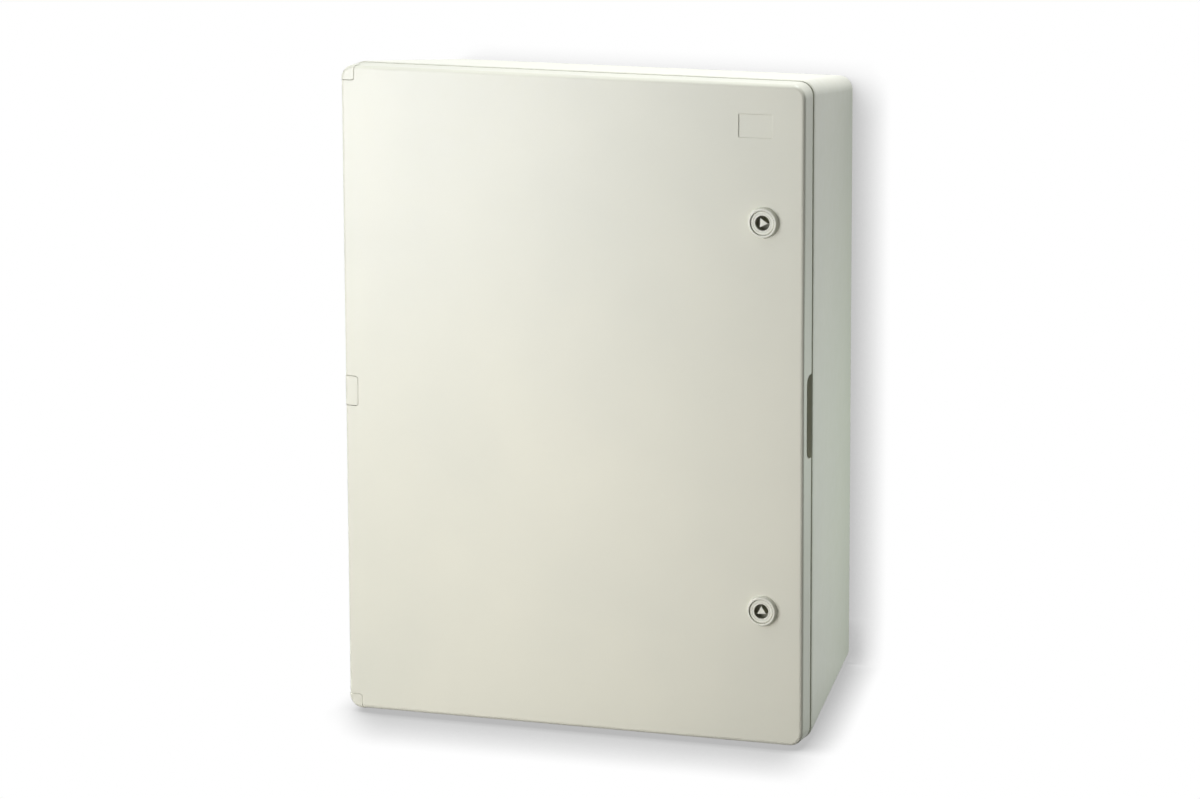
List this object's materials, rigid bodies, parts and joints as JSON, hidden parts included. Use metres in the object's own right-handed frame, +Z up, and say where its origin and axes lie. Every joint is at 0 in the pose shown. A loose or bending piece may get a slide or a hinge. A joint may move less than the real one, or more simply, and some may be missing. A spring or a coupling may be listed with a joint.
{
  "type": "distribution box",
  "caption": "Wall-mounted moulded plastic distribution box with a flush hinged door, foam gasket, quarter-turn key locks and a steel mounting plate inside.",
  "frame": {"origin": "centre of the back face that lies against the wall", "axes": "+Y into the wall, +Z up, +X to the right of someone who faces the door"},
  "size_m": [0.585, 0.3055, 0.8],
  "materials": {
    "case_plastic": "satin moulded light grey plastic",
    "lock_plastic": "satin moulded light grey plastic, slightly warmer than the case",
    "gasket_foam": "matte closed-skin foam",
    "seal_rubber": "matte",
    "pin_steel": "turned, zinc plated",
    "fastener_steel": "zinc plated",
    "cam_steel": "stamped, zinc plated",
    "plate_steel": "galvanised sheet",
    "insert_brass": "turned"
  },
  "bodies": {
    "enclosure": {"body_shell": "case_plastic", "hinge_pin_top": "pin_steel", "hinge_pin_middle": "pin_steel", "hinge_pin_bottom": "pin_steel", "threaded_inserts": "insert_brass", "mounting_plate": "plate_steel", "plate_washers": "fastener_steel", "plate_screws": "fastener_steel"},
    "door_leaf": {"door": "case_plastic", "door_gasket": "gasket_foam", "upper_lock_collar": "lock_plastic", "upper_lock_seal": "seal_rubber", "upper_lock_nut": "lock_plastic", "lower_lock_collar": "lock_plastic", "lower_lock_seal": "seal_rubber", "lower_lock_nut": "lock_plastic"},
    "upper_lock": {"upper_lock_core": "lock_plastic", "upper_lock_clip": "fastener_steel", "upper_lock_cam": "cam_steel", "upper_lock_washer": "fastener_steel", "upper_lock_screw": "fastener_steel"},
    "lower_lock": {"lower_lock_core": "lock_plastic", "lower_lock_clip": "fastener_steel", "lower_lock_cam": "cam_steel", "lower_lock_washer": "fastener_steel", "lower_lock_screw": "fastener_steel"}
  },
  "joints": [
    {"name": "door_hinge", "type": "hinge", "parent": "enclosure", "child": "door_leaf", "pos_m": [-0.2835, -0.291, 0], "axis": [0, 0, -1], "range_deg": [0, 120]},
    {"name": "upper_lock_turn", "type": "hinge", "parent": "door_leaf", "child": "upper_lock", "pos_m": [0.2415, -0.3, 0.235], "axis": [0, -1, 0], "range_deg": [0, 90]},
    {"name": "lower_lock_turn", "type": "hinge", "parent": "door_leaf", "child": "lower_lock", "pos_m": [0.2415, -0.3, -0.235], "axis": [0, -1, 0], "range_deg": [0, 90]}
  ]
}
